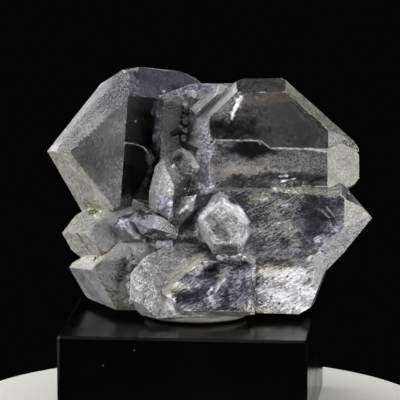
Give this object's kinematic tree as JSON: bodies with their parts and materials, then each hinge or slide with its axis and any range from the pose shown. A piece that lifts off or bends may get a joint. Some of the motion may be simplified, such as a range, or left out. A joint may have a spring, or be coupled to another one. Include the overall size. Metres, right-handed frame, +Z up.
{
  "type": "quartz crystal specimen",
  "caption": "Cluster of slightly smoky clear quartz crystals, pressed into putty on a square black display block.",
  "frame": {"origin": "centre of the display block's underside", "axes": "+Z up from the block's underside, +X to the right as seen from the front of the block, +Y away from the front"},
  "size_m": [0.0649, 0.0592, 0.0667],
  "materials": {
    "quartz": "clear glossy faces with frosted, finely grained points",
    "putty": "matte, hand pressed",
    "block": "polished black acrylic"
  },
  "bodies": {
    "root": {"quartz_cluster": "quartz", "mounting_putty": "putty", "display_block": "block"}
  },
  "joints": []
}
